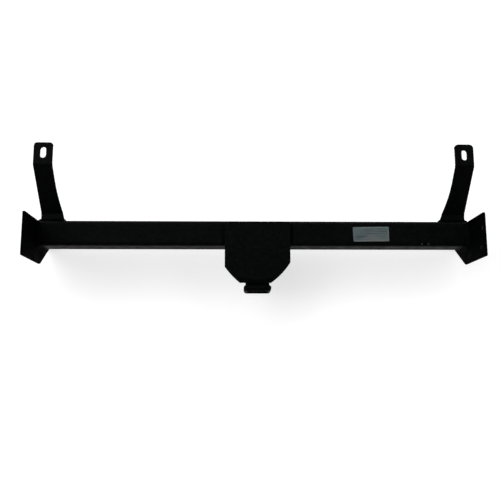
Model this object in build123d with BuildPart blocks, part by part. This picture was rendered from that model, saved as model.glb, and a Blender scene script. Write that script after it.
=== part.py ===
from build123d import *
import os

# A welded receiver towbar: a square cross tube between two upright end plates,
# two bent strap arms that reach forward to the vehicle, and a square receiver
# tube held between an upper gusset and a lower safety chain plate.
# Millimetres. The origin is the middle of the hitch pin hole, on the receiver's
# axis. +X is to the right seen from behind the vehicle, +Y forward, +Z up.

# Cross tube, a square hollow section
tube_size = 65
tube_wall = 5
tube_corner = 8
tube_length = 1105

# Receiver tube, open at the rear, its top flush with the cross tube's top
receiver_size = 60
receiver_wall = 4
receiver_corner = 5.5
receiver_length = 116.3
receiver_offset = 8
mouth_chamfer = 1.5
pin_hole_diameter = 16.5
pin_setback = 54

# Collar round the receiver's mouth
collar_length = 12.5
collar_thickness = 5
collar_rounding = 4.5

# Upper gusset, a plate on top of the cross tube and the receiver
gusset_thickness = 6
gusset_width = 167
gusset_setback = 3
gusset_left_cut = (39.3, 41.4)
gusset_left_bulge = 1.5
gusset_right_cut = (50.5, 52.6)
gusset_right_bulge = 3.4
gusset_bevel_run = 9
gusset_bevel_depth = 3
plate_edge_rounding = 0.8

# Lower plate with the two safety chain holes
chain_plate_thickness = 6
chain_plate_width = 160
chain_plate_setback = 13
chain_plate_corner = 40
chain_hole_diameter = 20
chain_hole_spacing = 112
chain_hole_from_tube = 34

# End plates, one against each end of the cross tube
end_plate_thickness = 6
end_plate_width = 107.3
end_plate_rise = 107
end_plate_drop = 50
end_plate_cut_back = 51.5
end_plate_cut_up = 77
end_plate_rounding = 3
frame_hole_diameter = 14
frame_hole_spacing = 50
frame_hole_from_rear = 21
frame_hole_from_top = 24.5

# Arms, flat straps bent twice
arm_thickness = 6
arm_width = 45
arm_side_gap = 5.5
arm_below_top = 10
arm_foot = 20
arm_slope_run = 102.3
arm_slope_rise = 92.7
arm_tab = 57.3
arm_bend_inside = 6
arm_flare_width = 17.5
arm_flare_run = 90
arm_tip_rounding = 8
slot_width = 18
slot_length = 31
slot_to_tip = 26.5

# Rating label, blank foil on top of the cross tube
label_length = 93
label_width = 38
label_thickness = 0.3
label_rounding = 2
label_from_middle = 300
label_from_front = 34.3
label_turn = 1.2

# Weld beads
weld_leg = 6
end_plate_leg = 9
gusset_side_leg = 8.5
gusset_side_height = 5
gusset_rear_leg = 4
collar_weld_length = 3.5
collar_weld_height = 4
arm_weld_reach = 2.5
weld_gap = 0.5

# Places that follow from the sizes above
middle_x = -receiver_offset
right_end_x = middle_x + tube_length / 2
tube_rear_y = receiver_length - pin_setback
tube_front_y = tube_rear_y + tube_size
top_z = receiver_size / 2
tube_axis_z = top_z - tube_size / 2
tube_bottom_z = top_z - tube_size
receiver_half = receiver_size / 2
mouth_y = -pin_setback
tube_axis_y = tube_rear_y + tube_size / 2
collar_front = receiver_length - collar_length
gusset_overhang = collar_front - collar_weld_length - weld_gap - gusset_rear_leg
chain_plate_overhang = gusset_overhang - chain_plate_setback
middle_plane = Plane.YZ.offset(middle_x)
receiver_plane = Plane.YZ

os.makedirs("parts", exist_ok=True)


def finish(piece, label):
    """Name a finished piece and write its file."""
    piece.part.label = label
    export_step(piece.part, "parts/" + label + ".step")


def finish_pair(right_piece, name, plane):
    """Write a right-hand piece and its mirror image on the left."""
    finish(right_piece, "right_" + name)
    with BuildPart() as left_piece:
        mirror(right_piece.part, about=plane)
    finish(left_piece, "left_" + name)


def bead(profile_plane, corner, length):
    """A straight weld bead: a triangle of three points drawn on a plane, run along its normal."""
    with BuildPart() as piece:
        with BuildSketch(profile_plane):
            with BuildLine():
                Polyline(*corner, close=True)
            make_face()
        extrude(amount=length)
    return piece


# Cross tube
with BuildPart() as cross_tube:
    with BuildSketch(Plane.YZ.offset(middle_x - tube_length / 2)):
        with Locations((tube_axis_y, tube_axis_z)):
            RectangleRounded(tube_size, tube_size, tube_corner)
            tube_bore = tube_size - 2 * tube_wall
            RectangleRounded(tube_bore, tube_bore, tube_corner - tube_wall, mode=Mode.SUBTRACT)
    extrude(amount=tube_length)
finish(cross_tube, "cross_tube")

# Receiver tube
with BuildPart() as receiver_tube:
    receiver_bore = receiver_size - 2 * receiver_wall
    with BuildSketch(Plane.XZ.offset(-tube_rear_y)):
        RectangleRounded(receiver_size, receiver_size, receiver_corner)
        RectangleRounded(receiver_bore, receiver_bore, receiver_corner - receiver_wall, mode=Mode.SUBTRACT)
    extrude(amount=receiver_length)
    mouth_face = receiver_tube.faces().sort_by(Axis.Y)[0]
    chamfer(mouth_face.inner_wires().edges(), length=mouth_chamfer)
    with BuildSketch(receiver_plane):
        Circle(pin_hole_diameter / 2)
    extrude(amount=receiver_size, both=True, mode=Mode.SUBTRACT)
finish(receiver_tube, "receiver_tube")

# Collar
with BuildPart() as receiver_collar:
    collar_size = receiver_size + 2 * collar_thickness
    with BuildSketch(Plane.XZ.offset(-mouth_y - collar_length)):
        RectangleRounded(collar_size, collar_size, receiver_corner + collar_thickness)
    extrude(amount=collar_length)
    fillet(receiver_collar.faces().sort_by(Axis.Y)[0].edges(), radius=collar_rounding)
    with BuildSketch(Plane.XZ.offset(-mouth_y - collar_length)):
        RectangleRounded(receiver_size, receiver_size, receiver_corner)
    extrude(amount=collar_length, mode=Mode.SUBTRACT)
finish(receiver_collar, "receiver_collar")

# Upper gusset: full width over the cross tube, its rear corners cut back in
# slight curves to the receiver, the right one more than the left, its rear
# edge ground down to a thin lip
gusset_rear_y = tube_rear_y - gusset_overhang
gusset_front_y = tube_front_y - gusset_setback
gusset_half = gusset_width / 2
right_cut_x, right_cut_y = gusset_right_cut
left_cut_x, left_cut_y = gusset_left_cut
right_rear_x = gusset_half - right_cut_x
left_rear_x = left_cut_x - gusset_half
with BuildPart() as top_gusset:
    with BuildSketch(Plane.XY.offset(top_z)):
        with BuildLine():
            Polyline((-gusset_half, gusset_rear_y + left_cut_y), (-gusset_half, gusset_front_y),
                     (gusset_half, gusset_front_y), (gusset_half, gusset_rear_y + right_cut_y))
            SagittaArc((gusset_half, gusset_rear_y + right_cut_y), (right_rear_x, gusset_rear_y),
                       gusset_right_bulge)
            Line((right_rear_x, gusset_rear_y), (left_rear_x, gusset_rear_y))
            SagittaArc((left_rear_x, gusset_rear_y), (-gusset_half, gusset_rear_y + left_cut_y),
                       gusset_left_bulge)
        make_face()
    extrude(amount=gusset_thickness)
    gusset_top_z = top_z + gusset_thickness
    with BuildSketch(Plane.YZ):
        with BuildLine():
            Polyline((gusset_rear_y, gusset_top_z), (gusset_rear_y + gusset_bevel_run, gusset_top_z),
                     (gusset_rear_y, gusset_top_z - gusset_bevel_depth), close=True)
        make_face()
    extrude(amount=gusset_width, both=True, mode=Mode.SUBTRACT)
    fillet(top_gusset.faces().sort_by(Axis.Z)[-1].edges(), radius=plate_edge_rounding)
finish(top_gusset, "top_gusset")

# Lower plate: butts against the cross tube under the receiver
chain_plate_top_z = -receiver_half
chain_plate_rear_y = tube_rear_y - chain_plate_overhang
chain_plate_half = chain_plate_width / 2
chain_plate_rear_half = chain_plate_half - chain_plate_corner
with BuildPart() as chain_plate:
    with BuildSketch(Plane.XY.offset(chain_plate_top_z - chain_plate_thickness)):
        with BuildLine():
            Polyline((-chain_plate_half, tube_rear_y), (chain_plate_half, tube_rear_y),
                     (chain_plate_half, chain_plate_rear_y + chain_plate_corner),
                     (chain_plate_rear_half, chain_plate_rear_y),
                     (-chain_plate_rear_half, chain_plate_rear_y),
                     (-chain_plate_half, chain_plate_rear_y + chain_plate_corner), close=True)
        make_face()
        with Locations((0, tube_rear_y - chain_hole_from_tube)):
            with GridLocations(chain_hole_spacing, 0, 2, 1):
                Circle(chain_hole_diameter / 2, mode=Mode.SUBTRACT)
    extrude(amount=chain_plate_thickness)
    fillet(chain_plate.faces().sort_by(Axis.Z)[0].outer_wire().edges(), radius=plate_edge_rounding)
finish(chain_plate, "chain_plate")

# End plates: upright, flush with the cross tube's front face, the rear lower
# corner cut away, two holes near the top for the frame bolts
end_plate_top_z = top_z + end_plate_rise
end_plate_bottom_z = tube_bottom_z - end_plate_drop
end_plate_rear_y = tube_front_y - end_plate_width
frame_hole_y = end_plate_rear_y + frame_hole_from_rear + frame_hole_spacing / 2
frame_hole_z = end_plate_top_z - frame_hole_from_top
with BuildPart() as right_end_plate:
    with BuildSketch(Plane.YZ.offset(right_end_x)) as end_plate_outline:
        with BuildLine():
            Polyline((tube_front_y, end_plate_bottom_z), (tube_front_y, end_plate_top_z),
                     (end_plate_rear_y, end_plate_top_z),
                     (end_plate_rear_y, end_plate_bottom_z + end_plate_cut_up),
                     (end_plate_rear_y + end_plate_cut_back, end_plate_bottom_z), close=True)
        make_face()
        fillet(end_plate_outline.vertices(), radius=end_plate_rounding)
        with Locations((frame_hole_y, frame_hole_z)):
            with GridLocations(frame_hole_spacing, 0, 2, 1):
                Circle(frame_hole_diameter / 2, mode=Mode.SUBTRACT)
    extrude(amount=end_plate_thickness)
    plate_faces = right_end_plate.faces().sort_by(Axis.X)
    fillet(plate_faces[0].outer_wire().edges() + plate_faces[-1].outer_wire().edges(),
           radius=plate_edge_rounding)
finish_pair(right_end_plate, "end_plate", middle_plane)

# Arms: a level foot on the cross tube's front face, a slope up and forward, and
# a level tab with a slot along the vehicle. The inner edge flares to the foot.
arm_top_z = top_z - arm_below_top
arm_tip_y = tube_front_y + arm_foot + arm_slope_run + arm_tab
tab_top_z = arm_top_z + arm_slope_rise
arm_outer_x = right_end_x - arm_side_gap
arm_inner_x = arm_outer_x - arm_width
arm_base_x = arm_inner_x - arm_flare_width
arm_flare_y = tube_front_y + arm_flare_run
slot_x = arm_outer_x - arm_width / 2
slot_y = arm_tip_y - slot_to_tip
with BuildPart() as right_arm:
    with BuildSketch(Plane.YZ.offset(arm_base_x)):
        with BuildLine():
            FilletPolyline((tube_front_y, arm_top_z), (tube_front_y + arm_foot, arm_top_z),
                           (tube_front_y + arm_foot + arm_slope_run, tab_top_z), (arm_tip_y, tab_top_z),
                           radius=(arm_bend_inside, arm_bend_inside + arm_thickness))
            offset(amount=arm_thickness, side=Side.RIGHT)
        make_face()
    extrude(amount=arm_width + arm_flare_width)
    with BuildSketch(Plane.XY.offset(arm_top_z - arm_thickness)) as arm_outline:
        with BuildLine():
            Polyline((arm_base_x, tube_front_y), (arm_outer_x, tube_front_y), (arm_outer_x, arm_tip_y),
                     (arm_inner_x, arm_tip_y), (arm_inner_x, arm_flare_y))
            TangentArc((arm_inner_x, arm_flare_y), (arm_base_x, tube_front_y), tangent=(0, -1))
        make_face()
        fillet(arm_outline.vertices().group_by(Axis.Y)[-1], radius=arm_tip_rounding)
    extrude(amount=arm_slope_rise + arm_thickness, mode=Mode.INTERSECT)
    with BuildSketch(Plane.XY.offset(tab_top_z)):
        with Locations((slot_x, slot_y)):
            SlotOverall(slot_length, slot_width, rotation=90)
    extrude(amount=-arm_thickness, mode=Mode.SUBTRACT)
finish_pair(right_arm, "arm", middle_plane)

# Rating label
with BuildPart() as rating_label:
    label_place = Location((middle_x + label_from_middle, tube_front_y - label_from_front, top_z),
                           (0, 0, label_turn))
    with BuildSketch(Plane(label_place)):
        RectangleRounded(label_length, label_width, label_rounding)
    extrude(amount=label_thickness)
finish(rating_label, "rating_label")

# Welds of the end plates: round the cross tube's top, rear and bottom
with BuildPart() as right_end_plate_weld:
    with BuildSketch(Plane.YZ.offset(right_end_x)):
        with Locations((tube_axis_y, tube_axis_z)):
            RectangleRounded(tube_size + 2 * end_plate_leg, tube_size + 2 * end_plate_leg, tube_corner + end_plate_leg)
    with BuildSketch(Plane.YZ.offset(right_end_x - end_plate_leg)):
        with Locations((tube_axis_y, tube_axis_z)):
            RectangleRounded(tube_size, tube_size, tube_corner)
    loft()
    with BuildSketch(Plane.YZ.offset(right_end_x)):
        with Locations((tube_axis_y, tube_axis_z)):
            RectangleRounded(tube_size, tube_size, tube_corner)
    extrude(amount=-end_plate_leg, mode=Mode.SUBTRACT)
    split(bisect_by=Plane.XZ.offset(-(tube_front_y - tube_corner)), keep=Keep.TOP)
finish_pair(right_end_plate_weld, "end_plate_weld", middle_plane)

# Welds of the arms: round the foot on the cross tube's front face, reaching out
# to the end plate's edge
foot_middle_z = arm_top_z - arm_thickness / 2
foot_height = arm_thickness + 2 * weld_leg
weld_inner_x = arm_base_x - weld_leg
weld_outer_x = right_end_x + arm_weld_reach
with BuildPart() as right_arm_weld:
    with BuildSketch(Plane.XZ.offset(-tube_front_y)):
        with Locations(((weld_inner_x + weld_outer_x) / 2, foot_middle_z)):
            Rectangle(weld_outer_x - weld_inner_x, foot_height)
    with BuildSketch(Plane.XZ.offset(-tube_front_y - weld_leg)):
        with Locations(((arm_base_x + arm_outer_x) / 2, foot_middle_z)):
            Rectangle(arm_outer_x - arm_base_x, arm_thickness)
    loft()
    add(right_arm.part, mode=Mode.SUBTRACT)
finish_pair(right_arm_weld, "arm_weld", middle_plane)

# Welds of the gusset: along its sides on the flat of the cross tube, and along
# its rear edge on the flat of the receiver
right_gusset_weld = bead(
    Plane.XZ.offset(-(tube_front_y - tube_corner)),
    [(gusset_half, top_z), (gusset_half + gusset_side_leg, top_z), (gusset_half, top_z + gusset_side_height)],
    tube_size - 2 * tube_corner)
finish_pair(right_gusset_weld, "gusset_weld", receiver_plane)
flat_half = receiver_half - receiver_corner
gusset_rear_weld = bead(
    Plane.YZ.offset(-flat_half),
    [(gusset_rear_y, top_z), (gusset_rear_y - gusset_rear_leg, top_z),
     (gusset_rear_y, top_z + gusset_thickness - gusset_bevel_depth)],
    2 * flat_half)
finish(gusset_rear_weld, "gusset_rear_weld")

# Welds of the receiver: under the gusset, over the lower plate, and upright
# against the cross tube's rear face
side_foot_z = flat_half - weld_gap
right_receiver_top_weld = bead(
    Plane.XZ.offset(-tube_rear_y),
    [(receiver_half, side_foot_z), (receiver_half, top_z), (receiver_half + weld_leg, top_z)],
    gusset_overhang)
finish_pair(right_receiver_top_weld, "receiver_top_weld", receiver_plane)
right_receiver_bottom_weld = bead(
    Plane.XZ.offset(-tube_rear_y),
    [(receiver_half, -side_foot_z), (receiver_half, chain_plate_top_z),
     (receiver_half + weld_leg, chain_plate_top_z)],
    chain_plate_overhang)
finish_pair(right_receiver_bottom_weld, "receiver_bottom_weld", receiver_plane)
upright_half = side_foot_z - weld_gap
right_receiver_front_weld = bead(
    Plane.XY.offset(-upright_half),
    [(receiver_half, tube_rear_y), (receiver_half + weld_leg, tube_rear_y),
     (receiver_half, tube_rear_y - weld_leg)],
    2 * upright_half)
finish_pair(right_receiver_front_weld, "receiver_front_weld", receiver_plane)

# Welds of the lower plate: on top of it, against the cross tube's rear face
plate_weld_x = receiver_half + weld_leg + weld_gap
right_chain_plate_weld = bead(
    Plane.YZ.offset(plate_weld_x),
    [(tube_rear_y, chain_plate_top_z), (tube_rear_y - weld_leg, chain_plate_top_z),
     (tube_rear_y, chain_plate_top_z + weld_leg)],
    chain_plate_half - plate_weld_x)
finish_pair(right_chain_plate_weld, "chain_plate_weld", receiver_plane)

# Weld of the collar: round the receiver in front of it
with BuildPart() as collar_weld:
    collar_front_y = mouth_y + collar_length
    bead_size = receiver_size + 2 * collar_weld_height
    with BuildSketch(Plane.XZ.offset(-collar_front_y)):
        RectangleRounded(bead_size, bead_size, receiver_corner + collar_weld_height)
    with BuildSketch(Plane.XZ.offset(-collar_front_y - collar_weld_length)):
        RectangleRounded(receiver_size, receiver_size, receiver_corner)
    loft()
    with BuildSketch(Plane.XZ.offset(-collar_front_y)):
        RectangleRounded(receiver_size, receiver_size, receiver_corner)
    extrude(amount=-collar_weld_length, mode=Mode.SUBTRACT)
finish(collar_weld, "collar_weld")
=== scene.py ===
import bpy
import bmesh
from math import cos, hypot, pi, radians, sin, sqrt
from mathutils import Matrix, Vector, noise


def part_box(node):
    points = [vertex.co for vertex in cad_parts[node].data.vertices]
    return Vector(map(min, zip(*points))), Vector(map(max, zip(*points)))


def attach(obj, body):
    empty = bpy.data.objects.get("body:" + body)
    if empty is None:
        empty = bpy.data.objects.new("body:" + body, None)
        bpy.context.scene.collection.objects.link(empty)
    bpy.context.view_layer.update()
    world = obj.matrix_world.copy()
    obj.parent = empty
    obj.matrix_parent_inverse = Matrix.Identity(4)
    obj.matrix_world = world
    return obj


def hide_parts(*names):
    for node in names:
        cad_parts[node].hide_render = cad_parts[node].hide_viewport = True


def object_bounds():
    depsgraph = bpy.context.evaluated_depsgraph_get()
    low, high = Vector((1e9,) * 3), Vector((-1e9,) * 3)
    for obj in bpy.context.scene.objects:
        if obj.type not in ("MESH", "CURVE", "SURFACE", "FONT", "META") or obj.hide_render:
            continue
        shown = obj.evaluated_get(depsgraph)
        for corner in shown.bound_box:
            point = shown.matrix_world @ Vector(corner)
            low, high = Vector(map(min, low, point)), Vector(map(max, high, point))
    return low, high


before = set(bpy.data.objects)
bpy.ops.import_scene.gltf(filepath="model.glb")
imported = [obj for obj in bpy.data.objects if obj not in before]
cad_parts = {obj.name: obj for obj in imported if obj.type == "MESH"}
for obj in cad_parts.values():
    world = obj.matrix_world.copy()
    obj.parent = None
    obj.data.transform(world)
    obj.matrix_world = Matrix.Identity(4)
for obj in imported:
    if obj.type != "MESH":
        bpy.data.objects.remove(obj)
cad_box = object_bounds()

# The cross tube is the towbar's backbone: a 65 mm square hollow section with a
# 5 mm wall, cold rolled from strip, so its corners are round and its faces a
# little hollow. It is sawn to length, welded up and then powder coated black.
tube_low, tube_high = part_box("cross_tube")
tube_middle = (tube_low + tube_high) / 2
half_tube = (tube_high.z - tube_low.z) / 2
tube_corner = 0.008
tube_wall = 0.005
face_hollow = 0.0003
tube_sway = 0.0012
sways_in_a_metre = 9
tube_stations = 110


def square_ring(half, corner, steps_on_corner, steps_on_side, hollow=0.0):
    """Points and outward directions round a square section with round corners."""
    ring = []
    flat = half - corner
    for quarter in range(4):
        turn = quarter * pi / 2
        c, s = cos(turn), sin(turn)
        local = []
        for k in range(steps_on_side):
            t = -1 + 2 * k / steps_on_side
            local.append((half - hollow * (1 - t * t), t * flat, 1, 0))
        for k in range(steps_on_corner):
            a = pi / 2 * k / steps_on_corner
            local.append((flat + corner * cos(a), flat + corner * sin(a), cos(a), sin(a)))
        for x, y, nx, ny in local:
            ring.append(((x * c - y * s, x * s + y * c), (nx * c - ny * s, nx * s + ny * c)))
    return ring


def skin(bm, rings, closed):
    """Faces between one ring of points and the next, with the ends closed or joined up."""
    rows = [[bm.verts.new(p) for p in ring] for ring in rings]
    n = len(rows[0])
    pairs = list(zip(rows, rows[1:]))
    if closed:
        pairs.append((rows[-1], rows[0]))
    for one, two in pairs:
        for k in range(n):
            bm.faces.new((one[k], one[(k + 1) % n], two[(k + 1) % n], two[k]))
    if not closed:
        bm.faces.new(rows[0])
        bm.faces.new(rows[-1])
    return rows


def finished_piece(name, bm, material, slot, *nodes, place=(0, 0, 0), turn=0.0):
    """The mesh as a smooth shaded piece that rides on the towbar in place of its plain nodes."""
    bmesh.ops.recalc_face_normals(bm, faces=bm.faces)
    if bm.calc_volume(signed=True) < 0:
        bmesh.ops.reverse_faces(bm, faces=bm.faces)
    mesh = bpy.data.meshes.new(name)
    bm.to_mesh(mesh)
    bm.free()
    mesh.shade_smooth()
    mesh.materials.append(material)
    piece = bpy.data.objects.new(name, mesh)
    bpy.context.scene.collection.objects.link(piece)
    piece.location = place
    piece.rotation_euler = (0, 0, turn)
    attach(piece, "root")
    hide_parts(*nodes)
    return piece


def feed(tree, socket, value):
    """Gives a socket of a finish a plain number or colour, or links it to another socket."""
    if isinstance(value, bpy.types.NodeSocket):
        tree.links.new(value, socket)
    else:
        socket.default_value = value


def worked_out(tree, how, one, two):
    """A sum in a finish, of sockets or plain numbers."""
    made = tree.nodes.new("ShaderNodeMath")
    made.operation = how
    feed(tree, made.inputs[0], one)
    feed(tree, made.inputs[1], two)
    return made.outputs["Value"]


def faded(tree, value, low, high, out_low=0.0, out_high=1.0):
    """A smooth change in a finish from one number to another, while the value goes from low to high."""
    made = tree.nodes.new("ShaderNodeMapRange")
    made.interpolation_type = "SMOOTHSTEP"
    for key, number in (("Value", value), ("From Min", low), ("From Max", high),
                        ("To Min", out_low), ("To Max", out_high)):
        feed(tree, made.inputs[key], number)
    return made.outputs["Result"]


def patchy(tree, place, scale, detail, tighter=(1, 1, 1)):
    """Uneven patches in a finish, about as many to the metre as the scale, times tighter each way."""
    spread = tree.nodes.new("ShaderNodeMapping")
    feed(tree, spread.inputs["Vector"], place)
    feed(tree, spread.inputs["Scale"], tighter)
    made = tree.nodes.new("ShaderNodeTexNoise")
    for key, value in (("Vector", spread.outputs["Vector"]), ("Scale", scale), ("Detail", detail)):
        feed(tree, made.inputs[key], value)
    return made.outputs["Fac"]


def tinted(tree, amount, low, high):
    """Two colours of a finish mixed by an amount."""
    made = tree.nodes.new("ShaderNodeMix")
    made.data_type = "RGBA"
    for key, value in (("Factor", amount), ("A", low), ("B", high)):
        feed(tree, made.inputs[key], value)
    return made.outputs["Result"]


def embossed(tree, height, strength, distance, below=None):
    """Fine relief in a finish, on top of the relief below it."""
    made = tree.nodes.new("ShaderNodeBump")
    for key, value in (("Height", height), ("Strength", strength), ("Distance", distance)):
        feed(tree, made.inputs[key], value)
    if below is not None:
        feed(tree, made.inputs["Normal"], below)
    return made.outputs["Normal"]


def powder_coat(name, haze=1.0, peel=1.0, sheen=0.035, gloss=(0.48, 0.62), dustiness=1.0):
    """Black powder coat: a fine orange peel, cloudy sheen, faint rubs, and dust where it lies flat."""
    film_black, film_haze = (0.0001, 0.0003, 0.0002, 1), (0.0011, 0.0019, 0.0016, 1)
    dust_grey, rub_grey = (0.012, 0.012, 0.0115, 1), (0.007, 0.0072, 0.0074, 1)
    material = bpy.data.materials.new(name)
    material.use_nodes = True
    coat = material.node_tree
    shader = coat.nodes["Principled BSDF"].inputs
    feed(coat, shader["Specular IOR Level"], sheen)
    place = coat.nodes.new("ShaderNodeTexCoord").outputs["Object"]
    clouds = faded(coat, patchy(coat, place, 110, 5), 0.36, 0.68, 0, haze)
    film = tinted(coat, clouds, film_black, film_haze)
    facing = coat.nodes.new("ShaderNodeSeparateXYZ")
    feed(coat, facing.inputs["Vector"], coat.nodes.new("ShaderNodeNewGeometry").outputs["Normal"])
    lying = faded(coat, facing.outputs["Z"], 0.8, 1)
    specks = faded(coat, patchy(coat, place, 700, 3), 0.6, 0.8, 0, 0.35 * dustiness)
    dusty = tinted(coat, worked_out(coat, "MULTIPLY", lying, specks), film, dust_grey)
    strokes = faded(coat, patchy(coat, place, 30, 5, (1, 14, 14)), 0.62, 0.78, 0, 0.6 * dustiness)
    handled = faded(coat, patchy(coat, place, 8, 2), 0.4, 0.7)
    rubbed = tinted(coat, worked_out(coat, "MULTIPLY", strokes, handled), dusty, rub_grey)
    feed(coat, shader["Base Color"], rubbed)
    feed(coat, shader["Roughness"], faded(coat, patchy(coat, place, 45, 5), 0.3, 0.7, *gloss))
    waves = embossed(coat, patchy(coat, place, 260, 2), 0.35 * peel, 0.0004)
    feed(coat, shader["Normal"], embossed(coat, patchy(coat, place, 1100, 2), 0.2 * peel, 0.0001, waves))
    return material


steel_coat = powder_coat("powder coat on steel")
bm = bmesh.new()
outer = square_ring(half_tube, tube_corner, steps_on_corner=8, steps_on_side=10, hollow=face_hollow)
inner = square_ring(half_tube - tube_wall, tube_corner - tube_wall, steps_on_corner=8, steps_on_side=10)
rings = []
for k in range(tube_stations + 1):
    x = tube_low.x + (tube_high.x - tube_low.x) * k / tube_stations
    narrowed = 1 - tube_sway * abs(noise.noise(Vector((x * sways_in_a_metre, 0.3, 0.7))))
    rings.append([(x, tube_middle.y + p[0] * narrowed, tube_middle.z + p[1]) for p, _ in outer])
for x in (tube_high.x, tube_low.x):
    rings.append([(x, tube_middle.y + p[0], tube_middle.z + p[1]) for p, _ in inner])
skin(bm, rings, closed=True)
finished_piece("cross_tube_section", bm, steel_coat, "black_coat", "cross_tube")

# The receiver is a 60 mm square tube with a 4 mm wall, butted against the cross
# tube's rear face. Its 52 mm bore takes a standard shank, and a hole drilled
# through both sides takes the pin that holds it.
receiver_low, receiver_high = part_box("receiver_tube")
receiver_half = (receiver_high.x - receiver_low.x) / 2
receiver_corner = 0.0055
receiver_wall = 0.004
mouth_chamfer = 0.0015
mouth_edge = ((0.0008, 0.0), (0.0003, 0.0002), (0.0, 0.0007))
seam_height = 0.0005
seam_half_width = 0.0022
pin_hole_radius = 0.00825
pin_hole_flare = 0.0025
pin_hole_edge = 0.0006
drill_reach = 0.032
drill_sides = 56
flat_face_weight = 80


def even_shading(piece):
    """Lets a plate's large flat faces set the shading, so that only its edges look round."""
    weighted = piece.modifiers.new("even shading", "WEIGHTED_NORMAL")
    weighted.mode = "FACE_AREA"
    weighted.weight = flat_face_weight
    weighted.keep_sharp = True
    return piece


bm = bmesh.new()
rings = []
for y, inset in [(receiver_high.y, 0.0)] + [(receiver_low.y + back, inset) for back, inset in mouth_edge]:
    ring = square_ring(receiver_half - inset, receiver_corner - inset, steps_on_corner=8, steps_on_side=40)
    rings.append([(p[0], y, p[1]) for p, _ in ring])
for y, wall, seam in ((receiver_low.y, receiver_wall - mouth_chamfer, 0.0),
                      (receiver_low.y + mouth_chamfer, receiver_wall, seam_height),
                      (receiver_high.y, receiver_wall, seam_height)):
    bore = square_ring(receiver_half - wall, receiver_corner - wall, steps_on_corner=8, steps_on_side=40)
    row = []
    for p, _ in bore:
        proud = seam * max(0.0, 1 - (p[0] / seam_half_width) ** 2) if p[1] < -receiver_half / 2 else 0.0
        row.append((p[0], y, p[1] + proud))
    rings.append(row)
skin(bm, rings, closed=True)
receiver = finished_piece("receiver_section", bm, steel_coat, "black_coat", "receiver_tube")
bm = bmesh.new()
drill = []
for x, flare in ((-drill_reach, pin_hole_flare), (pin_hole_edge - receiver_half, 0.0),
                 (receiver_half - pin_hole_edge, 0.0), (drill_reach, pin_hole_flare)):
    r = pin_hole_radius + flare
    turns = [2 * pi * k / drill_sides for k in range(drill_sides)]
    drill.append([(x, r * cos(a), r * sin(a)) for a in turns])
skin(bm, drill, closed=False)
bmesh.ops.recalc_face_normals(bm, faces=bm.faces)
drill_mesh = bpy.data.meshes.new("pin_drill")
bm.to_mesh(drill_mesh)
bm.free()
pin_drill = bpy.data.objects.new("pin_drill", drill_mesh)
bpy.context.scene.collection.objects.link(pin_drill)
drilling = receiver.modifiers.new("pin hole", "BOOLEAN")
drilling.object = pin_drill
drilling.operation = "DIFFERENCE"
drilling.solver = "EXACT"
bpy.context.view_layer.update()
drilled = bpy.data.meshes.new_from_object(receiver.evaluated_get(bpy.context.evaluated_depsgraph_get()))
receiver.modifiers.clear()
receiver.data = drilled
drilled.name = "receiver_section"
bpy.data.objects.remove(pin_drill)
even_shading(receiver)

# The collar is a band of 5 mm strip bent round the receiver's mouth, to stop it
# spreading under load. Its rear edge is ground back in a long smooth round.
collar_low, collar_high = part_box("receiver_collar")
collar_thickness = (collar_high.x - collar_low.x) / 2 - receiver_half
collar_rear_rounding = (0.0095, 0.0049)
collar_front_rounding = 0.0008
collar_dents = 0.006
dents_in_a_metre = 60
dented_from = 0.001


def quarter_turn(steps):
    """Sine and one minus cosine at even steps through a quarter turn."""
    return [(sin(pi / 2 * k / steps), 1 - cos(pi / 2 * k / steps)) for k in range(steps + 1)]


section = [(collar_high.y, 0.0), (collar_low.y, 0.0)]
for along, across in quarter_turn(8):
    section.append((collar_low.y + collar_rear_rounding[0] * across,
                    collar_thickness - collar_rear_rounding[1] * (1 - along)))
for along, across in quarter_turn(3):
    section.append((collar_high.y - collar_front_rounding * (1 - along),
                    collar_thickness - collar_front_rounding * across))
bm = bmesh.new()
rings = []
for y, out in section:
    ring = square_ring(receiver_half + out, receiver_corner + out, steps_on_corner=10, steps_on_side=12)
    rings.append([(p[0], y, p[1]) for p, _ in ring])
skin(bm, rings, closed=True)
for v in bm.verts:
    depth = max(abs(v.co.x), abs(v.co.z)) - receiver_half
    if depth > dented_from:
        dent = max(0.0, noise.noise(v.co * dents_in_a_metre))
        v.co *= 1 - collar_dents * dent * depth / collar_thickness
collar_coat = powder_coat("powder coat on collar", haze=0.8, sheen=0.035, gloss=(0.6, 0.72))
even_shading(finished_piece("mouth_collar", bm, collar_coat, "black_coat", "receiver_collar"))

# The gusset is 6 mm plate that ties the receiver to the cross tube from above.
# It is cut by plasma, its two rear corners taken back by hand, the right one
# more than the left, and its rear edge ground down to a lip for the weld.
gusset_low, gusset_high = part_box("top_gusset")
gusset_left_cut = (0.0384, 0.0412, 0.0020)
gusset_right_cut = (0.0495, 0.0524, 0.0036)
gusset_bevel = (0.009, 0.003)
plate_edge = 0.0008
cut_step = 0.0018
edge_steps = 3
cut_face_rows = (0.35, 0.65)
drag_lines = 0.00006
drag_across, drag_down = 900, 90


def bowed(start, end, bow, steps=16):
    """Points along a cut from start to end that bows out to its right by bow."""
    dx, dy = end[0] - start[0], end[1] - start[1]
    length = hypot(dx, dy)
    points = []
    for k in range(steps + 1):
        t = k / steps
        out = 4 * bow * t * (1 - t)
        points.append((start[0] + dx * t + dy / length * out, start[1] + dy * t - dx / length * out))
    return points


def even_steps(loop, step):
    """The same loop with points no further apart than step."""
    points = []
    for one, two in zip(loop, loop[1:] + loop[:1]):
        length = hypot(two[0] - one[0], two[1] - one[1])
        if length < 1e-7:
            continue
        parts = max(1, round(length / step))
        for k in range(parts):
            t = k / parts
            points.append((one[0] + (two[0] - one[0]) * t, one[1] + (two[1] - one[1]) * t))
    return points


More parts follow.
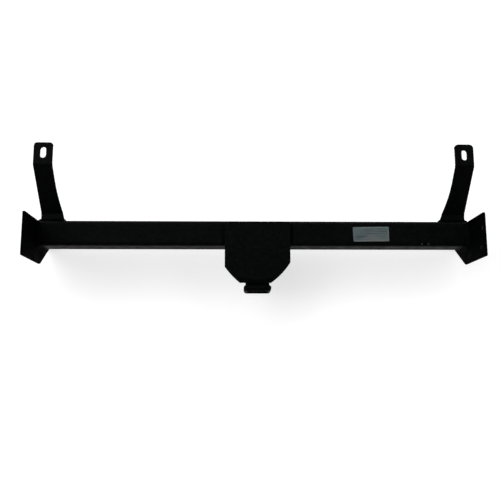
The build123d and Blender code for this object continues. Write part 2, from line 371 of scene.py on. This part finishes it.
def cut_plate(loops, thickness, edge, drag=drag_lines):
    """Plate cut from its outline and holes, lying flat from 0 to its thickness.

    Its edges are eased, and its cut faces show the cutter's drag lines.
    """
    bm = bmesh.new()
    top, bottom = [], []
    for loop in loops:
        loop = even_steps(loop, cut_step)
        count = len(loop)
        rows = []
        lower = [(edge * across, edge * (1 - along)) for along, across in quarter_turn(edge_steps)]
        upper = [(thickness - z, inset) for z, inset in reversed(lower)]
        middle = [(thickness * t, 0.0) for t in cut_face_rows]
        for z, inset in lower + middle + upper:
            row = []
            for k in range(count):
                ax, ay = loop[k - 1]
                bx, by = loop[(k + 1) % count]
                length = hypot(bx - ax, by - ay)
                nx, ny = (by - ay) / length, -(bx - ax) / length
                score = 0.0
                if edge < z < thickness - edge:
                    x, y = loop[k]
                    score = drag * noise.noise(Vector((x * drag_across, y * drag_across, z * drag_down)))
                back = inset + max(0.0, score)
                row.append(bm.verts.new((loop[k][0] - nx * back, loop[k][1] - ny * back, z)))
            rows.append(row)
        for one, two in zip(rows, rows[1:]):
            for k in range(count):
                bm.faces.new((one[k], one[(k + 1) % count], two[(k + 1) % count], two[k]))
        bottom.append(rows[0])
        top.append(rows[-1])
    for side in (bottom, top):
        edges = []
        for row in side:
            for k in range(len(row)):
                edges.append(bm.edges.get((row[k], row[(k + 1) % len(row)])))
        bmesh.ops.triangle_fill(bm, use_beauty=True, edges=edges)
    return bm


gusset_thickness = gusset_high.z - gusset_low.z
gusset_left_corner = bowed((gusset_low.x, gusset_low.y + gusset_left_cut[1]),
                           (gusset_low.x + gusset_left_cut[0], gusset_low.y), gusset_left_cut[2])
gusset_right_corner = bowed((gusset_high.x - gusset_right_cut[0], gusset_low.y),
                            (gusset_high.x, gusset_low.y + gusset_right_cut[1]), gusset_right_cut[2])
bm = cut_plate([[(gusset_low.x, gusset_high.y)] + gusset_left_corner + gusset_right_corner
                + [(gusset_high.x, gusset_high.y)]], gusset_thickness, plate_edge)
bevel_start = gusset_low.y + gusset_bevel[0]
bmesh.ops.bisect_plane(bm, geom=bm.verts[:] + bm.edges[:] + bm.faces[:],
                       plane_co=(0, bevel_start, 0), plane_no=(0, 1, 0))
for v in bm.verts:
    share = max(0.0, (bevel_start - v.co.y) / gusset_bevel[0])
    v.co.z *= 1 - share * gusset_bevel[1] / gusset_thickness
    v.co.z += gusset_low.z
for edge in bm.edges:
    if all(abs(v.co.y - bevel_start) < 1e-6 and v.co.z > gusset_high.z - 1e-5 for v in edge.verts):
        edge.smooth = False
even_shading(finished_piece("gusset_plate", bm, steel_coat, "black_coat", "top_gusset"))

# The lower plate is 6 mm steel too. It carries the receiver from below, and its
# two punched holes take the hooks of the trailer's safety chains.
chain_low, chain_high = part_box("chain_plate")
chain_corner = 0.040
chain_hole_radius = 0.010
chain_hole_x = 0.056
chain_hole_back = 0.034


def hole(centre, radius, steps=40):
    """A hole's edge, run the other way round from an outline."""
    turns = [-2 * pi * k / steps for k in range(steps)]
    return [(centre[0] + radius * cos(a), centre[1] + radius * sin(a)) for a in turns]


bm = cut_plate([
    [(chain_low.x, chain_high.y), (chain_low.x, chain_low.y + chain_corner),
     (chain_low.x + chain_corner, chain_low.y), (chain_high.x - chain_corner, chain_low.y),
     (chain_high.x, chain_low.y + chain_corner), (chain_high.x, chain_high.y)],
    hole((chain_hole_x, chain_high.y - chain_hole_back), chain_hole_radius),
    hole((-chain_hole_x, chain_high.y - chain_hole_back), chain_hole_radius),
], chain_high.z - chain_low.z, plate_edge)
for v in bm.verts:
    v.co.z += chain_low.z
even_shading(finished_piece("safety_chain_plate", bm, steel_coat, "black_coat", "chain_plate"))

# The end plates close the cross tube and stand up to meet the vehicle's rails,
# one bolt pattern of two holes in each. They are 6 mm plate, cut by plasma, with
# the lower rear corner taken off.
plate_rounding = 0.003
plate_cut_back = 0.0515
plate_cut_up = 0.077
frame_hole_radius = 0.007
frame_hole_from_rear = 0.021
frame_hole_spacing = 0.050
frame_hole_from_top = 0.0245
plate_coats = {}
for side in ("left", "right"):
    plate_coats[side] = powder_coat("powder coat on " + side + " end plate",
                                    haze=0.3, sheen=0.006, gloss=(0.6, 0.75))
# Two lighter patches in the right plate's colour round its bolt holes, each given by its middle, its reach
# and its colour.
lighter_patches_by_holes = [((0.5445, 0.0903, 0.1279), 0.0075, (0.013, 0.013, 0.013, 1)),
               ((0.5465, 0.0425, 0.1130), 0.0105, (0.022, 0.022, 0.022, 1))]
patch_raggedness = 0.003
full_patch_middle = 0.6


def rounded(corners, radius, steps=6):
    """An outline's corners made round, one radius for all or one for each."""
    radii = radius if isinstance(radius, list) else [radius] * len(corners)
    points = []
    for k, (corner, r) in enumerate(zip(corners, radii)):
        here = Vector(corner)
        before = (Vector(corners[k - 1]) - here).normalized()
        after = (Vector(corners[(k + 1) % len(corners)]) - here).normalized()
        if r == 0:
            points.append(corner)
            continue
        half_angle = before.angle(after) / 2
        reach = r / abs(sin(half_angle) / cos(half_angle))
        centre = here + (before + after).normalized() * (r / sin(half_angle))
        one, two = here + before * reach - centre, here + after * reach - centre
        turn = one.angle_signed(two)
        for j in range(steps + 1):
            a = -turn * j / steps
            points.append((centre.x + one.x * cos(a) - one.y * sin(a),
                           centre.y + one.x * sin(a) + one.y * cos(a)))
    return points


def lighten_patches(material, rubs):
    """Lightens patches in a coat's colour, each given by its middle, its reach and its colour."""
    coat = material.node_tree
    painted = coat.nodes["Principled BSDF"].inputs["Base Color"]
    place = coat.nodes.new("ShaderNodeTexCoord").outputs["Object"]
    ragged = worked_out(coat, "MULTIPLY", patchy(coat, place, 350, 2), patch_raggedness)
    for middle, reach, under in rubs:
        away = coat.nodes.new("ShaderNodeVectorMath")
        away.operation = "DISTANCE"
        feed(coat, away.inputs[0], place)
        feed(coat, away.inputs[1], middle)
        ragged_away = worked_out(coat, "ADD", away.outputs["Value"], ragged)
        in_patch = faded(coat, ragged_away, reach * full_patch_middle, reach, 1.0, 0.0)
        feed(coat, painted, tinted(coat, in_patch, painted.links[0].from_socket, under))


# The right plate's coat gets lighter patches of colour round its bolt holes.
lighten_patches(plate_coats["right"], lighter_patches_by_holes)
for side in ("left", "right"):
    low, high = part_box(side + "_end_plate")
    hole_z = high.z - frame_hole_from_top
    bm = cut_plate([
        rounded([(low.y + plate_cut_back, low.z), (high.y, low.z), (high.y, high.z), (low.y, high.z),
                 (low.y, low.z + plate_cut_up)], plate_rounding),
        hole((low.y + frame_hole_from_rear, hole_z), frame_hole_radius),
        hole((low.y + frame_hole_from_rear + frame_hole_spacing, hole_z), frame_hole_radius),
    ], high.x - low.x, plate_edge)
    for v in bm.verts:
        v.co = Vector((low.x + v.co.z, v.co.x, v.co.y))
    even_shading(finished_piece(side + "_end_plate_cut", bm, plate_coats[side], "black_coat",
                                side + "_end_plate"))

# The arms are 6 mm strap, cut with a flared foot and a slot at the tip, then
# bent twice on a press brake. The steel is squeezed inside each bend, and bulges
# a little at the strap's edges there.
arm_thickness = 0.006
arm_width = 0.047
arm_outside = 0.001
arm_flares = {"left": 0.0135, "right": 0.0195}
arm_flare_run = 0.090
arm_foot = 0.020
arm_run = 0.1023
arm_rise = 0.0927
arm_bend = 0.006
arm_tip_roundings = {"left": 0.008, "right": 0.0105}
slot_sizes = {"left": (0.0170, 0.0301), "right": (0.0155, 0.0284)}
slot_from_tip = {"left": 0.0256, "right": 0.0278}
bend_bulge = 0.0006
bulge_reach = 0.004
bend_steps, slope_steps, slot_steps, flare_steps = 6, 8, 16, 80
slope = Vector((arm_run, arm_rise)).normalized()
slope_angle = Vector((1, 0)).angle(slope)


def arm_path(total_run):
    """The strap's middle line from the foot, as place and slope by length along it, and its bends' ends."""
    half = arm_thickness / 2
    middle_radius = arm_bend + half
    tangent = sin(slope_angle / 2) / cos(slope_angle / 2)
    low_middle = Vector((arm_foot, 0)) + Vector((tangent * half, -half))
    high_middle = Vector((arm_foot + arm_run, arm_rise)) + Vector((tangent * half, -half))
    reach = middle_radius * tangent
    first = low_middle.x - reach
    lean = (high_middle - low_middle).length - 2 * reach
    arc = middle_radius * slope_angle
    last = total_run - high_middle.x - reach
    marks = [0]
    for stretch in (first, arc, lean, arc, last):
        marks.append(marks[-1] + stretch)
    turn = Vector((middle_radius * sin(slope_angle), middle_radius * (1 - cos(slope_angle))))

    def at(s):
        if s <= marks[1]:
            return Vector((s, -half)), 0.0
        if s <= marks[2]:
            a = (s - marks[1]) / middle_radius
            return Vector((first + middle_radius * sin(a), -half + middle_radius * (1 - cos(a)))), a
        start = Vector((first, -half)) + turn
        if s <= marks[3]:
            return start + slope * (s - marks[2]), slope_angle
        top = start + slope * lean
        if s <= marks[4]:
            a = slope_angle - (s - marks[3]) / middle_radius
            return top + Vector((middle_radius * (sin(slope_angle) - sin(a)),
                                 middle_radius * (cos(a) - cos(slope_angle)))), a
        return top + turn + Vector((s - marks[4], 0)), 0.0

    return at, marks


for side, hand in (("right", 1), ("left", -1)):
    low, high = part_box(side + "_arm")
    at, marks = arm_path(high.y - low.y)
    strap_end = marks[5]
    outer_x = high.x + arm_outside if hand > 0 else low.x - arm_outside
    radius = (arm_flares[side] ** 2 + arm_flare_run ** 2) / (2 * arm_flares[side])

    def inner_edge_at(s):
        """How far across the strap its inner edge lies, flared towards the foot."""
        back = max(0.0, arm_flare_run - at(s)[0].x)
        return arm_width + radius - sqrt(radius * radius - back * back)

    lengths = [strap_end * k / flare_steps for k in range(flare_steps + 1)]
    inner_edge = [(inner_edge_at(s), s) for s in lengths]
    tip_rounding = arm_tip_roundings[side]
    tip = rounded([(0, 0), inner_edge[0], (arm_width, strap_end), (0, strap_end)],
                  [0, 0, tip_rounding, tip_rounding], steps=8)
    outline = [tip[0]] + [(w, s) for w, s in inner_edge if s < strap_end - tip_rounding] + tip[2:]
    slot_radius = slot_sizes[side][0] / 2
    straight = slot_sizes[side][1] / 2 - slot_radius
    slot = []
    for end in (1, -1):
        for k in range(slot_steps + 1):
            a = pi * k / slot_steps
            slot.append((arm_width / 2 + end * cos(a) * slot_radius,
                         strap_end - slot_from_tip[side] + end * (straight + sin(a) * slot_radius)))
    bm = cut_plate([outline, slot], arm_thickness, plate_edge)
    cuts = [marks[1] + (marks[2] - marks[1]) * k / bend_steps for k in range(bend_steps + 1)]
    cuts += [marks[3] + (marks[4] - marks[3]) * k / bend_steps for k in range(bend_steps + 1)]
    cuts += [marks[2] + (marks[3] - marks[2]) * k / slope_steps for k in range(1, slope_steps)]
    for s in cuts:
        bmesh.ops.bisect_plane(bm, geom=bm.verts[:] + bm.edges[:] + bm.faces[:],
                               plane_co=(0, s, 0), plane_no=(0, 1, 0))
    for v in bm.verts:
        across, s, up = v.co
        centre, angle = at(s)
        lift = up - arm_thickness / 2
        place = centre + Vector((-sin(angle), cos(angle))) * lift
        for start, end, inside in ((marks[1], marks[2], 1), (marks[3], marks[4], -1)):
            if start < s < end and inside * lift > 0:
                depth = inside * lift / (arm_thickness / 2)
                squeeze = bend_bulge * sin(pi * (s - start) / (end - start)) * depth
                near_outer = max(0.0, 1 - across / bulge_reach)
                near_inner = max(0.0, 1 - (inner_edge_at(s) - across) / bulge_reach)
                across += squeeze * (near_inner - near_outer)
        v.co = Vector((outer_x - hand * across, low.y + place.x, high.z - arm_rise + place.y))
    even_shading(finished_piece(side + "_arm_strap", bm, steel_coat, "black_coat", side + "_arm"))

# The end plates are welded round the cross tube's top, rear and bottom, and not
# in front. Like every weld here it is a hand-laid fillet bead with the same coat
# over it, whose ripples show where the arc paused. The coat's colour is painted
# darker on the beads, as painted shade.
# The beads' coat has less haze, so its colour is darker: a painted shade.
weld_coat = powder_coat("weld coat with painted shade", peel=0.6, haze=0.35, sheen=0.008, gloss=(0.42, 0.55),
                        dustiness=0.4)
bead_step = 0.0004
bead_sides = 10
ripple = 0.0024
ripple_bow = 1.1
ripple_height = 0.075
ripple_sharpness = 0.6
ripple_at_toes = 0.25
leg_share = 0.96
leg_wander = 0.07
wanders_in_a_metre = 160
pauses_in_a_metre = 90
pause_share = 0.3
end_leg = 0.009
end_swell = -0.05
front_flat = half_tube - tube_corner


def weld_bead(name, roots, one_way, other_way, one_leg, other_leg, nodes,
              closed=False, swell=0.10, seed=0.0):
    """A rippled fillet bead along its root line.

    The two ways are the directions in which its legs lie, at each root or all along.
    """
    count = len(roots)
    one_way, other_way = (way if isinstance(way, list) else [way] * count for way in (one_way, other_way))
    one_leg, other_leg = (leg if isinstance(leg, list) else [leg] * count for leg in (one_leg, other_leg))
    bm = bmesh.new()
    length = 0.0
    rings = []
    for k in range(count):
        root = Vector(roots[k])
        if k:
            length += (root - Vector(roots[k - 1])).length
        a, b = Vector(one_way[k]), Vector(other_way[k])
        along = length * wanders_in_a_metre
        leg_a = one_leg[k] * leg_share * (1 + leg_wander * noise.noise(Vector((along, seed, 0.1))))
        leg_b = other_leg[k] * leg_share * (1 + leg_wander * noise.noise(Vector((along, seed, 7.1))))
        pause = pause_share * noise.noise(Vector((length * pauses_in_a_metre, seed, 3.3)))
        out = (a + b).normalized()
        ring = [root]
        for j in range(bead_sides + 1):
            t = j / bead_sides
            hump = 4 * t * (1 - t)
            ridge = abs(sin(pi * (length / ripple + ripple_bow * hump + pause))) ** ripple_sharpness
            strength = ripple_height * (ripple_at_toes + (1 - ripple_at_toes) * hump)
            crown = min(leg_a, leg_b) * (swell * hump + strength * ridge)
            ring.append(root + a * leg_a * (1 - t) + b * leg_b * t + out * crown)
        rings.append(ring)
    skin(bm, rings, closed)
    return finished_piece(name, bm, weld_coat, "weld_coat", *nodes)


def fine_ring(half_wide, half_high, corner):
    """Points and outward directions round a rectangular section with round corners, in even steps."""
    points = []
    flat_w, flat_h = half_wide - corner, half_high - corner
    sides = [((half_wide, -flat_h), (half_wide, flat_h), (flat_w, flat_h)),
             ((flat_w, half_high), (-flat_w, half_high), (-flat_w, flat_h)),
             ((-half_wide, flat_h), (-half_wide, -flat_h), (-flat_w, -flat_h)),
             ((-flat_w, -half_high), (flat_w, -half_high), (flat_w, -flat_h))]
    for quarter, (start, end, centre) in enumerate(sides):
        angle = quarter * pi / 2
        parts = max(1, round(hypot(end[0] - start[0], end[1] - start[1]) / bead_step))
        for k in range(parts):
            t = k / parts
            points.append(((start[0] + (end[0] - start[0]) * t, start[1] + (end[1] - start[1]) * t),
                           (cos(angle), sin(angle))))
        turns = max(4, round(corner * pi / 2 / bead_step))
        for k in range(turns):
            a = angle + pi / 2 * k / turns
            points.append(((centre[0] + corner * cos(a), centre[1] + corner * sin(a)), (cos(a), sin(a))))
    return points


for side, hand in (("right", 1), ("left", -1)):
    end_x = tube_high.x if hand > 0 else tube_low.x
    ring = fine_ring(half_tube, half_tube, tube_corner)
    away = [hypot(p[0] - front_flat, p[1] - half_tube) for p, _ in ring]
    start = away.index(min(away))
    ring = [(p, n) for p, n in ring[start:] + ring[:start] if p[0] <= front_flat + 1e-6]
    roots = [(end_x, tube_middle.y + p[0], tube_middle.z + p[1]) for p, _ in ring]
    weld_bead(side + "_end_weld_bead", roots, (-hand, 0, 0), [(0, n[0], n[1]) for _, n in ring],
              end_leg, end_leg, [side + "_end_plate_weld"], swell=end_swell, seed=hand * 3.1)

# Each arm's foot is welded all round to the cross tube's front face, the outer
# end filled up to the end plate beside it.
weld_leg = 0.006
foot_corner = 0.0012
outer_end_share, inner_end_share = 1.3, 0.35
faces_an_end = 0.7
for side, hand in (("right", 1), ("left", -1)):
    low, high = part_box(side + "_arm")
    half_wide, half_high = (arm_width + arm_flares[side]) / 2, arm_thickness / 2
    centre_x = high.x + arm_outside - half_wide if hand > 0 else low.x - arm_outside + half_wide
    centre_z = high.z - arm_rise - half_high
    ring = fine_ring(half_wide, half_high, foot_corner)
    legs = []
    for _, n in ring:
        at_end = outer_end_share if n[0] * hand > 0 else inner_end_share
        legs.append(weld_leg * (at_end if abs(n[0]) >= faces_an_end else 1))
    weld_bead(side + "_arm_weld_bead", [(centre_x + p[0], low.y, centre_z + p[1]) for p, _ in ring],
              (0, 1, 0), [(n[0], 0, n[1]) for _, n in ring], weld_leg, legs,
              [side + "_arm_weld"], closed=True, seed=hand * 5.7)

# The gusset is welded down both sides to the cross tube, and across its ground
# rear edge to the receiver. The beads are thin where they start and stop.
bead_run_out = 0.004
bead_end_share = 0.55


def straight_bead(name, start, end, one_way, other_way, one_leg, other_leg, node, seed):
    """A bead from start to end, which dies away over its first and last few millimetres."""
    start, end = Vector(start), Vector(end)
    length = (end - start).length
    count = max(8, round(length / bead_step))
    roots, shares = [], []
    for k in range(count + 1):
        t = k / count
        roots.append(start.lerp(end, t))
        full = min(1.0, min(t, 1 - t) * length / bead_run_out) ** 0.5
        shares.append(bead_end_share + (1 - bead_end_share) * full)
    return weld_bead(name, roots, one_way, other_way, [one_leg * share for share in shares],
                     [other_leg * share for share in shares], [node], seed=seed)


for side, hand in (("right", 1), ("left", -1)):
    low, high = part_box(side + "_gusset_weld")
    x = low.x if hand > 0 else high.x
    straight_bead(side + "_gusset_weld_bead", (x, high.y, low.z), (x, low.y, low.z), (hand, 0, 0),
                  (0, 0, 1), high.x - low.x, high.z - low.z, side + "_gusset_weld", hand * 2.3)
low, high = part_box("gusset_rear_weld")
straight_bead("gusset_rear_weld_bead", (low.x, high.y, low.z), (high.x, high.y, low.z),
              (0, -1, 0), (0, 0, 1), high.y - low.y, high.z - low.z, "gusset_rear_weld", 4.4)

# The receiver is welded to the gusset, to the lower plate and to the cross
# tube's rear face, along the corners between its sides and each of them, and
# the lower plate's front edge to the tube on both sides of it.
for side, hand in (("right", 1), ("left", -1)):
    x = receiver_half * hand
    low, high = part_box(side + "_receiver_top_weld")
    straight_bead(side + "_receiver_top_bead", (x, high.y, high.z), (x, low.y, high.z), (hand, 0, 0),
                  (0, 0, -1), weld_leg, high.z - low.z, side + "_receiver_top_weld", hand * 1.9)
    low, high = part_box(side + "_receiver_bottom_weld")
    straight_bead(side + "_receiver_bottom_bead", (x, high.y, low.z), (x, low.y, low.z), (hand, 0, 0),
                  (0, 0, 1), weld_leg, high.z - low.z, side + "_receiver_bottom_weld", hand * 8.2)
    low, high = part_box(side + "_receiver_front_weld")
    straight_bead(side + "_receiver_front_bead", (x, high.y, low.z), (x, high.y, high.z), (hand, 0, 0),
                  (0, -1, 0), weld_leg, weld_leg, side + "_receiver_front_weld", hand * 6.6)
    low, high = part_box(side + "_chain_plate_weld")
    near, far = (low.x, high.x) if hand > 0 else (high.x, low.x)
    straight_bead(side + "_chain_plate_bead", (near, high.y, low.z), (far, high.y, low.z),
                  (0, -1, 0), (0, 0, 1), weld_leg, weld_leg, side + "_chain_plate_weld", hand * 9.1)

# The collar's front edge is welded to the receiver all the way round, with a
# smaller bead than the others.
low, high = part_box("collar_weld")
ring = fine_ring(receiver_half, receiver_half, receiver_corner)
weld_bead("collar_weld_bead", [(p[0], low.y, p[1]) for p, _ in ring], (0, 1, 0),
          [(n[0], 0, n[1]) for _, n in ring], high.y - low.y, high.x - receiver_half,
          ["collar_weld"], closed=True, seed=12.5)

# Spatter is the small round beads that the arc throws off. Two larger ones by the
# cross tube's rear edge have a glossier finish, and their lighter blue-grey colour is a painted highlight.
spatter_places = [(0.505, 0.083, 0.0013), (0.497, 0.104, 0.0011), (0.519, 0.071, 0.0012),
                  (-0.531, 0.093, 0.0013), (-0.522, 0.112, 0.0011), (-0.540, 0.074, 0.0012),
                  (0.099, 0.108, 0.0012), (0.104, 0.086, 0.0010),
                  (-0.101, 0.079, 0.0012), (-0.097, 0.115, 0.0010)]
highlighted_spatter_places = [(0.4232, 0.0672, 0.0025), (0.4400, 0.0672, 0.0027)]
spatter_sunk = 0.0004
spatter_squash = 0.6
spatter_lumps = 0.12
lumps_in_a_metre = 900
spatter_highlight_coat = powder_coat("spatter with painted highlight", peel=0.6, haze=0.35, sheen=0.12, gloss=(0.3, 0.45),
                          dustiness=0.4)
# The two beads' lighter blue-grey colour is a painted highlight.
spatter_highlight_colour = spatter_highlight_coat.node_tree.nodes["Principled BSDF"].inputs["Base Color"]
spatter_highlight_coat.node_tree.links.remove(spatter_highlight_colour.links[0])
spatter_highlight_colour.default_value = (0.007, 0.011, 0.014, 1)
for name, places, material in (("weld_spatter", spatter_places, weld_coat),
                               ("highlighted_spatter", highlighted_spatter_places, spatter_highlight_coat)):
    bm = bmesh.new()
    for x, y, size in places:
        made = bmesh.ops.create_icosphere(bm, subdivisions=3, radius=size)
        for v in made["verts"]:
            lump = 1 + spatter_lumps * noise.noise(v.co * lumps_in_a_metre + Vector((x * 40, y * 40, 0)))
            v.co = Vector((x + v.co.x * lump, y + v.co.y * lump,
                           tube_high.z - spatter_sunk + v.co.z * lump * spatter_squash))
    finished_piece(name, bm, material, "weld_coat")

# The rating label is a thin grey foil, printed with plain ruled lines and left
# blank. It is stuck a little crooked on top of the cross tube.
label_length, label_height = 0.093, 0.038
label_thickness = 0.0003
label_edge = 0.00008
label_rounding = 0.002
label_slants = (0.0013, 0.0002)
label_turn = radians(0.8)
label_margin = 0.0034
margin_line = 0.0003
ruled_lines = 6
line_core, line_reach, line_strength = 0.03, 0.09, 0.9
blued_end = (-0.048, -0.030)
border_grey, ink_grey = (0.104, 0.118, 0.116, 1), (0.046, 0.056, 0.058, 1)
foil_dark, foil_light = (0.042, 0.060, 0.065, 1), (0.088, 0.106, 0.106, 1)
bleached, yellowed, blued = (0.062, 0.096, 0.106, 1), (0.108, 0.100, 0.092, 1), (0.060, 0.098, 0.104, 1)
label_low, label_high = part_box("rating_label")
label_foil = bpy.data.materials.new("label foil")
label_foil.use_nodes = True
foil = label_foil.node_tree
foil_place = foil.nodes.new("ShaderNodeTexCoord").outputs["Object"]
foil_way = foil.nodes.new("ShaderNodeSeparateXYZ")
feed(foil, foil_way.inputs["Vector"], foil_place)
foil_x, foil_y = foil_way.outputs["X"], foil_way.outputs["Y"]


def inside_margin(way, size):
    """Where a place on the foil lies inside its margin, measured one way across it."""
    edge = size / 2 - label_margin
    return faded(foil, worked_out(foil, "ABSOLUTE", way, 0.0), edge - margin_line, edge, 1.0, 0.0)


inside_up, inside_along = inside_margin(foil_y, label_height), inside_margin(foil_x, label_length)
inside = worked_out(foil, "MULTIPLY", inside_up, inside_along)
row_height = (label_height - 2 * label_margin) / ruled_lines
rows_up = worked_out(foil, "ADD", worked_out(foil, "DIVIDE", foil_y, row_height), 10.0)
off_line = worked_out(foil, "SUBTRACT", worked_out(foil, "FRACT", rows_up, 0.0), 0.5)
on_line = faded(foil, worked_out(foil, "ABSOLUTE", off_line, 0.0), line_core, line_reach, 1.0, 0.0)
ruled = worked_out(foil, "MULTIPLY", worked_out(foil, "MULTIPLY", inside, on_line), line_strength)
streaks = faded(foil, patchy(foil, foil_place, 60, 4, (0.25, 5, 1)), 0.38, 0.62)
panel = tinted(foil, inside, border_grey, tinted(foil, streaks, foil_dark, foil_light))
printed = tinted(foil, ruled, panel, ink_grey)
pale_patches = faded(foil, patchy(foil, foil_place, 45, 2, (0.6, 1, 1)), 0.45, 0.62, 0.0, 0.6)
tired_patches = faded(foil, patchy(foil, foil_place, 32, 2, (0.5, 1, 1)), 0.50, 0.66, 0.0, 0.5)
aged = tinted(foil, tired_patches, tinted(foil, pale_patches, printed, bleached), yellowed)
shader = foil.nodes["Principled BSDF"].inputs
feed(foil, shader["Base Color"], tinted(foil, faded(foil, foil_x, *blued_end, 0.5, 0.0), aged, blued))
feed(foil, shader["Roughness"], faded(foil, patchy(foil, foil_place, 40, 4), 0.3, 0.7, 0.42, 0.62))
feed(foil, shader["Specular IOR Level"], 0.2)
feed(foil, shader["Normal"], embossed(foil, patchy(foil, foil_place, 220, 3, (0.4, 1, 1)), 0.25, 0.0003))
half_long, half_up = label_length / 2, label_height / 2
bm = cut_plate([rounded([(-half_long + label_slants[0], -half_up), (half_long, -half_up),
                         (half_long - label_slants[1], half_up), (-half_long, half_up)], label_rounding)],
               label_thickness, label_edge, 0)
label_place = ((label_low.x + label_high.x) / 2, (label_low.y + label_high.y) / 2, label_low.z)
even_shading(finished_piece("blank_label", bm, label_foil, "label_foil", "rating_label",
                            place=label_place, turn=label_turn))

# The towbar stands on its end plates on a sheet of pale paper, which runs out
# past everything in view and glows a little, as paper lit from all round does.
floor_reach = 40
floor_z = cad_box[0].z
glow_seen, glow_mirrored = 0.64, 0.5
floor_mesh = bpy.data.meshes.new("floor")
floor_mesh.from_pydata([(x * floor_reach, y * floor_reach, floor_z)
                        for x, y in ((-1, -1), (1, -1), (1, 1), (-1, 1))], [], [(0, 1, 2, 3)])
floor = bpy.data.objects.new("floor", floor_mesh)
bpy.context.scene.collection.objects.link(floor)
floor_paper = bpy.data.materials.new("floor paper")
floor_paper.use_nodes = True
paper = floor_paper.node_tree
shader = paper.nodes["Principled BSDF"].inputs
for key, value in (("Base Color", (0.52, 0.52, 0.52, 1)), ("Roughness", 1), ("Specular IOR Level", 0),
                   ("Emission Color", (1, 1, 1, 1))):
    feed(paper, shader[key], value)
ray = paper.nodes.new("ShaderNodeLightPath").outputs
seen = worked_out(paper, "MULTIPLY", ray["Is Camera Ray"], glow_seen)
reflected = worked_out(paper, "MAXIMUM", ray["Is Glossy Ray"], ray["Is Transmission Ray"])
mirrored = worked_out(paper, "MULTIPLY", reflected, glow_mirrored)
feed(paper, shader["Emission Strength"], worked_out(paper, "MAXIMUM", seen, mirrored))
floor_mesh.materials.append(floor_paper)

# The studio has a wide ring of soft light round the front and both sides, which
# is brightest high up, a dimmer ceiling inside it to the left, and a low wall
# lit white. It is nearly dark behind, though the camera sees white all over.
world = bpy.data.worlds.new("studio")
world.use_nodes = True
bpy.context.scene.world = world
studio = world.node_tree
aim = studio.nodes.new("ShaderNodeSeparateXYZ")
feed(studio, aim.inputs["Vector"], studio.nodes.new("ShaderNodeTexCoord").outputs["Generated"])
aim_x, aim_y, aim_z = aim.outputs["X"], aim.outputs["Y"], aim.outputs["Z"]
under_the_top = faded(studio, aim_z, 0.64, 0.81, 1.0, 0.0)
brighter_high_up = faded(studio, aim_z, 0.1, 0.5, 1.0, 3.65)
dark_behind = faded(studio, aim_y, -0.4, 0.1, 0.07, 1.0)
brighter_on_the_left = faded(studio, aim_x, -0.6, 0.6, 1.3, 0.5)
ring = worked_out(studio, "MULTIPLY", under_the_top, brighter_high_up)
ring_in_front = worked_out(studio, "MULTIPLY", ring, dark_behind)
around = worked_out(studio, "MULTIPLY", ring_in_front, brighter_on_the_left)
not_behind = faded(studio, aim_y, -0.4, -0.1)
high_up = faded(studio, aim_z, 0.6, 0.85)
on_the_left = faded(studio, aim_x, -0.35, 0.15, 0.9, 0.0)
ceiling = worked_out(studio, "MULTIPLY", on_the_left, worked_out(studio, "MULTIPLY", not_behind, high_up))
low_wall = faded(studio, aim_z, 0.1, 0.3, 1.0, 0.0)
ray = studio.nodes.new("ShaderNodeLightPath").outputs
reflected = worked_out(studio, "MAXIMUM", ray["Is Glossy Ray"], ray["Is Transmission Ray"])
mirrored = worked_out(studio, "MULTIPLY", reflected, low_wall)
white = worked_out(studio, "MAXIMUM", ray["Is Camera Ray"], mirrored)
light = worked_out(studio, "MAXIMUM", worked_out(studio, "ADD", around, ceiling), white)
feed(studio, studio.nodes["Background"].inputs["Strength"], light)
feed(studio, studio.nodes["Background"].inputs["Color"], (1, 1, 1, 1))
bpy.context.scene.view_settings.view_transform = "Standard"

# The camera looks down on the towbar from about 1.7 m above it, standing a
# little behind it and to the left of its middle.
camera = bpy.data.objects.new("camera", bpy.data.cameras.new("camera"))
bpy.context.scene.collection.objects.link(camera)
camera.location = (-0.05325, -0.23951, 1.70073)
camera.rotation_euler = (radians(9.8229), radians(-1.1961), radians(-0.088))
camera.data.sensor_width = 36
camera.data.lens = 47.88
camera.data.shift_x = -0.001
camera.data.shift_y = 0.001
bpy.context.scene.camera = camera
